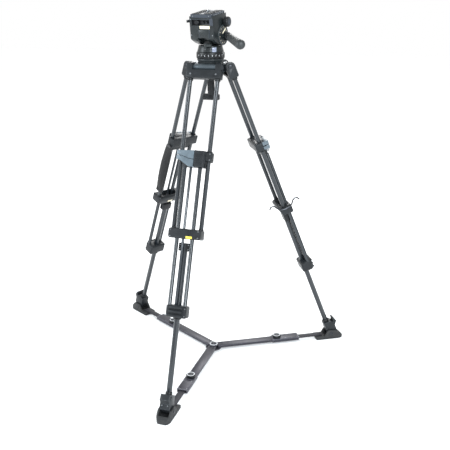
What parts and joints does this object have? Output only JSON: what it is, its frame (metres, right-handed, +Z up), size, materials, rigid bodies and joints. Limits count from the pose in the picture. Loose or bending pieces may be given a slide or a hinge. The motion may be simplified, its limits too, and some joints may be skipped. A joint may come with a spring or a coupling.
{
  "type": "camera tripod with fluid head",
  "caption": "Two-stage twin-tube camera tripod with ground spreader, bowl mount and fluid pan-and-tilt head with sliding plate and pan handle.",
  "frame": {"origin": "on the floor under the tripod's axis, at the underside of the spreader hub", "axes": "+Z up, front leg (leg a) along -Y, legs b and c at 30 and 150 degrees from +X"},
  "size_m": [1.0342, 0.9031, 1.4183],
  "materials": {
    "leg_tube": "anodised satin",
    "leg_casting": "black powder coat on cast aluminium",
    "lock_lever": "blue-grey moulded",
    "foot_rubber": "moulded",
    "spreader_alloy": "dark anodised",
    "knob_plastic": "fine texture",
    "crown_alloy": "cast and machined",
    "strap": "grained",
    "catch_plastic": "moulded",
    "head_paint": "satin black paint on cast aluminium",
    "drag_ring": "moulded",
    "plate_alloy": "anodised",
    "screw_steel": "turned",
    "vial": "frosted window",
    "handle_metal": "black anodised",
    "grip_rubber": "ribbed"
  },
  "bodies": {
    "crown": {"crown": "crown_alloy"},
    "level_base": {"head_base": "head_paint"},
    "bowl_clamp": {"bowl_clamp": "knob_plastic"},
    "pan": {"pan_housing": "head_paint", "level_vial": "vial", "tilt_pedestal": "head_paint"},
    "drag_ring": {"pan_drag_ring": "drag_ring"},
    "pan_lock": {"pan_lock_lever": "catch_plastic"},
    "tilt": {"tilt_body": "head_paint"},
    "plate": {"sliding_plate": "plate_alloy"},
    "screw": {"camera_screw": "screw_steel"},
    "plate_knob": {"plate_lock_knob": "knob_plastic"},
    "plate_catch": {"plate_release_lever": "catch_plastic"},
    "handle": {"handle_clamp": "handle_metal", "handle_grip": "grip_rubber"},
    "spreader": {"spreader_hub": "spreader_alloy", "arm_inner_a": "spreader_alloy", "arm_inner_b": "spreader_alloy", "arm_inner_c": "spreader_alloy"},
    "leg_a_upper": {"upper_frame_a": "leg_tube", "guide_bracket_a": "leg_casting"},
    "leg_a_mid": {"collar_a": "leg_casting", "mid_frame_a": "leg_tube"},
    "leg_a_lower": {"lower_tube_a": "leg_tube", "ankle_a": "leg_casting"},
    "lever_1_a": {"lock_lever_1_a": "lock_lever"},
    "lever_2_a": {"lock_lever_2_a": "lock_lever"},
    "rod_a": {"lock_rod_a": "leg_tube"},
    "sleeve_a": {"arm_sleeve_a": "spreader_alloy"},
    "knob_a": {"arm_knob_a": "knob_plastic"},
    "foot_a": {"shoe_a": "foot_rubber", "arm_bar_a": "spreader_alloy"},
    "leg_b_upper": {"upper_frame_b": "leg_tube", "guide_bracket_b": "leg_casting", "strap_hooks": "catch_plastic"},
    "leg_b_mid": {"collar_b": "leg_casting", "mid_frame_b": "leg_tube"},
    "leg_b_lower": {"lower_tube_b": "leg_tube", "ankle_b": "leg_casting"},
    "lever_1_b": {"lock_lever_1_b": "lock_lever"},
    "lever_2_b": {"lock_lever_2_b": "lock_lever"},
    "rod_b": {"lock_rod_b": "leg_tube"},
    "sleeve_b": {"arm_sleeve_b": "spreader_alloy"},
    "knob_b": {"arm_knob_b": "knob_plastic"},
    "foot_b": {"shoe_b": "foot_rubber"},
    "bar_b": {"arm_bar_b": "spreader_alloy"},
    "leg_c_upper": {"upper_frame_c": "leg_tube", "guide_bracket_c": "leg_casting"},
    "leg_c_mid": {"collar_c": "leg_casting", "mid_frame_c": "leg_tube", "carry_strap": "strap"},
    "leg_c_lower": {"lower_tube_c": "leg_tube", "ankle_c": "leg_casting"},
    "lever_1_c": {"lock_lever_1_c": "lock_lever"},
    "lever_2_c": {"lock_lever_2_c": "lock_lever"},
    "rod_c": {"lock_rod_c": "leg_tube"},
    "sleeve_c": {"arm_sleeve_c": "spreader_alloy"},
    "knob_c": {"arm_knob_c": "knob_plastic"},
    "foot_c": {"shoe_c": "foot_rubber"},
    "bar_c": {"arm_bar_c": "spreader_alloy"}
  },
  "joints": [
    {"name": "level_tilt", "type": "hinge", "parent": "crown", "child": "level_base", "pos_m": [0, 0, 1.222], "axis": [1, 0, 0], "range_deg": [-6, 6]},
    {"name": "clamp_turn", "type": "hinge", "parent": "level_base", "child": "bowl_clamp", "pos_m": [0, 0, 1.12], "axis": [0, 0, 1], "continuous": true},
    {"name": "pan_turn", "type": "hinge", "parent": "level_base", "child": "pan", "pos_m": [0, 0, 1.28], "axis": [0, 0, 1], "continuous": true},
    {"name": "drag_ring_turn", "type": "hinge", "parent": "level_base", "child": "drag_ring", "pos_m": [0, 0, 1.25], "axis": [0, 0, 1], "range_deg": [-60, 60]},
    {"name": "pan_lock_swing", "type": "hinge", "parent": "pan", "child": "pan_lock", "pos_m": [-0.00183, -0.05151, 1.285], "axis": [0, 0, 1], "range_deg": [-45, 0]},
    {"name": "tilt_nod", "type": "hinge", "parent": "pan", "child": "tilt", "pos_m": [0.00087, 0.00492, 1.327], "axis": [0.9848, -0.1736, 0], "range_deg": [-72, 9]},
    {"name": "plate_slide", "type": "slide", "parent": "tilt", "child": "plate", "axis": [0.1724, 0.9775, 0.1219], "range_m": [-0.03, 0.03]},
    {"name": "screw_turn", "type": "hinge", "parent": "plate", "child": "screw", "pos_m": [-0.00272, -0.01543, 1.40506], "axis": [-0.0212, -0.12, 0.9925], "continuous": true},
    {"name": "plate_knob_turn", "type": "hinge", "parent": "tilt", "child": "plate_knob", "pos_m": [0.05074, 0.00556, 1.37448], "axis": [0.9848, -0.1736, 0], "range_deg": [-90, 90]},
    {"name": "plate_catch_swing", "type": "hinge", "parent": "tilt", "child": "plate_catch", "pos_m": [-0.06221, -0.04757, 1.37774], "axis": [-0.0212, -0.12, 0.9925], "range_deg": [-60, 0]},
    {"name": "handle_swing", "type": "hinge", "parent": "tilt", "child": "handle", "pos_m": [0.05375, 0.01687, 1.3205], "axis": [0.9848, -0.1736, 0], "range_deg": [-60, 45]},
    {"name": "leg_spread", "type": "hinge", "parent": "crown", "child": "leg_a_upper", "pos_m": [0, -0.0633, 1.213], "axis": [-1, 0, 0], "range_deg": [-4, 1.3]},
    {"name": "leg_extend", "type": "slide", "parent": "leg_a_upper", "child": "leg_a_mid", "axis": [0, -0.3665, -0.9304], "range_m": [-0.1, 0.1]},
    {"name": "lower_extend_a", "type": "slide", "parent": "leg_a_mid", "child": "leg_a_lower", "axis": [0, -0.3665, -0.9304], "range_m": [-0.1, 0.1]},
    {"name": "ankle_a", "type": "hinge", "parent": "leg_a_lower", "child": "foot_a", "pos_m": [0, -0.53319, 0.02774], "axis": [1, 0, 0], "range_deg": [-4, 1.3]},
    {"name": "lever_1_a_flip", "type": "hinge", "parent": "leg_a_mid", "child": "lever_1_a", "pos_m": [0.0052, -0.22138, 0.90447], "axis": [0, 0.3665, 0.9304], "range_deg": [0, 95]},
    {"name": "lever_2_a_flip", "type": "hinge", "parent": "leg_a_mid", "child": "lever_2_a", "pos_m": [0.0052, -0.22138, 0.90447], "axis": [0, 0.3665, 0.9304], "range_deg": [0, 95]},
    {"name": "rod_a_turn", "type": "hinge", "parent": "leg_a_mid", "child": "rod_a", "pos_m": [-0.006, -0.29985, 0.66131], "axis": [0, 0.3665, 0.9304], "range_deg": [0, 48]},
    {"name": "leg_spread_b", "type": "hinge", "parent": "crown", "child": "leg_b_upper", "pos_m": [0.05482, 0.03165, 1.213], "axis": [0.5, -0.866, 0], "range_deg": [-4, 1.3]},
    {"name": "leg_extend_b", "type": "slide", "parent": "leg_b_upper", "child": "leg_b_mid", "axis": [0.3174, 0.1833, -0.9304], "range_m": [-0.1, 0.1]},
    {"name": "lower_extend_b", "type": "slide", "parent": "leg_b_mid", "child": "leg_b_lower", "axis": [0.3174, 0.1833, -0.9304], "range_m": [-0.1, 0.1]},
    {"name": "ankle_b", "type": "hinge", "parent": "leg_b_lower", "child": "foot_b", "pos_m": [0.46176, 0.2666, 0.02774], "axis": [-0.5, 0.866, 0], "range_deg": [-4, 1.3]},
    {"name": "lever_1_b_flip", "type": "hinge", "parent": "leg_b_mid", "child": "lever_1_b", "pos_m": [0.18912, 0.11519, 0.90447], "axis": [-0.3174, -0.1833, 0.9304], "range_deg": [0, 95]},
    {"name": "lever_2_b_flip", "type": "hinge", "parent": "leg_b_mid", "child": "lever_2_b", "pos_m": [0.18912, 0.11519, 0.90447], "axis": [-0.3174, -0.1833, 0.9304], "range_deg": [0, 95]},
    {"name": "rod_b_turn", "type": "hinge", "parent": "leg_b_mid", "child": "rod_b", "pos_m": [0.26268, 0.14473, 0.66131], "axis": [-0.3174, -0.1833, 0.9304], "range_deg": [0, 48]},
    {"name": "leg_spread_c", "type": "hinge", "parent": "crown", "child": "leg_c_upper", "pos_m": [-0.05482, 0.03165, 1.213], "axis": [0.5, 0.866, 0], "range_deg": [-4, 1.3]},
    {"name": "leg_extend_c", "type": "slide", "parent": "leg_c_upper", "child": "leg_c_mid", "axis": [-0.3174, 0.1833, -0.9304], "range_m": [-0.1, 0.1]},
    {"name": "lower_extend_c", "type": "slide", "parent": "leg_c_mid", "child": "leg_c_lower", "axis": [-0.3174, 0.1833, -0.9304], "range_m": [-0.1, 0.1]},
    {"name": "ankle_c", "type": "hinge", "parent": "leg_c_lower", "child": "foot_c", "pos_m": [-0.46176, 0.2666, 0.02774], "axis": [-0.5, -0.866, 0], "range_deg": [-4, 1.3]},
    {"name": "lever_1_c_flip", "type": "hinge", "parent": "leg_c_mid", "child": "lever_1_c", "pos_m": [-0.19432, 0.10619, 0.90447], "axis": [0.3174, -0.1833, 0.9304], "range_deg": [0, 95]},
    {"name": "lever_2_c_flip", "type": "hinge", "parent": "leg_c_mid", "child": "lever_2_c", "pos_m": [-0.19432, 0.10619, 0.90447], "axis": [0.3174, -0.1833, 0.9304], "range_deg": [0, 95]},
    {"name": "rod_c_turn", "type": "hinge", "parent": "leg_c_mid", "child": "rod_c", "pos_m": [-0.25668, 0.15512, 0.66131], "axis": [0.3174, -0.1833, 0.9304], "range_deg": [0, 48]},
    {"name": "arm_bar_a_slide", "type": "slide", "parent": "foot_a", "child": "sleeve_a", "axis": [0, 1, 0], "range_m": [-0.0735, 0.0735]},
    {"name": "arm_sleeve_a_slide", "type": "slide", "parent": "sleeve_a", "child": "spreader", "axis": [0, 1, 0], "range_m": [-0.0829, 0.0271]},
    {"name": "arm_sleeve_b_slide", "type": "slide", "parent": "spreader", "child": "sleeve_b", "axis": [0.866, 0.5, 0], "range_m": [-0.0829, 0.0271]},
    {"name": "arm_bar_b_slide", "type": "slide", "parent": "sleeve_b", "child": "bar_b", "axis": [0.866, 0.5, 0], "range_m": [-0.0735, 0.0735]},
    {"name": "arm_sleeve_c_slide", "type": "slide", "parent": "spreader", "child": "sleeve_c", "axis": [-0.866, 0.5, 0], "range_m": [-0.0829, 0.0271]},
    {"name": "arm_bar_c_slide", "type": "slide", "parent": "sleeve_c", "child": "bar_c", "axis": [-0.866, 0.5, 0], "range_m": [-0.0735, 0.0735]},
    {"name": "knob_a_turn", "type": "hinge", "parent": "sleeve_a", "child": "knob_a", "pos_m": [0, -0.285, 0.03], "axis": [0, 0, 1], "continuous": true},
    {"name": "knob_b_turn", "type": "hinge", "parent": "sleeve_b", "child": "knob_b", "pos_m": [0.24682, 0.1425, 0.03], "axis": [0, 0, 1], "continuous": true},
    {"name": "knob_c_turn", "type": "hinge", "parent": "sleeve_c", "child": "knob_c", "pos_m": [-0.24682, 0.1425, 0.03], "axis": [0, 0, 1], "continuous": true}
  ],
  "couplings": [
    {"joint": "lower_extend_a", "follows": "leg_extend", "ratio": 1},
    {"joint": "ankle_a", "follows": "leg_spread", "ratio": 1},
    {"joint": "rod_a_turn", "follows": "lever_2_a_flip", "ratio": 0.5},
    {"joint": "leg_spread_b", "follows": "leg_spread", "ratio": 1},
    {"joint": "leg_extend_b", "follows": "leg_extend", "ratio": 1},
    {"joint": "lower_extend_b", "follows": "leg_extend", "ratio": 1},
    {"joint": "ankle_b", "follows": "leg_spread", "ratio": 1},
    {"joint": "rod_b_turn", "follows": "lever_2_b_flip", "ratio": 0.5},
    {"joint": "leg_spread_c", "follows": "leg_spread", "ratio": 1},
    {"joint": "leg_extend_c", "follows": "leg_extend", "ratio": 1},
    {"joint": "lower_extend_c", "follows": "leg_extend", "ratio": 1},
    {"joint": "ankle_c", "follows": "leg_spread", "ratio": 1},
    {"joint": "rod_c_turn", "follows": "lever_2_c_flip", "ratio": 0.5},
    {"joint": "arm_bar_a_slide", "follows": "leg_extend", "ratio": 0.733},
    {"joint": "arm_sleeve_a_slide", "follows": "leg_spread", "m_per_rad": 1.1853},
    {"joint": "arm_bar_b_slide", "follows": "leg_extend", "ratio": 0.733},
    {"joint": "arm_sleeve_b_slide", "follows": "leg_spread", "m_per_rad": 1.1853},
    {"joint": "arm_bar_c_slide", "follows": "leg_extend", "ratio": 0.733},
    {"joint": "arm_sleeve_c_slide", "follows": "leg_spread", "m_per_rad": 1.1853}
  ]
}
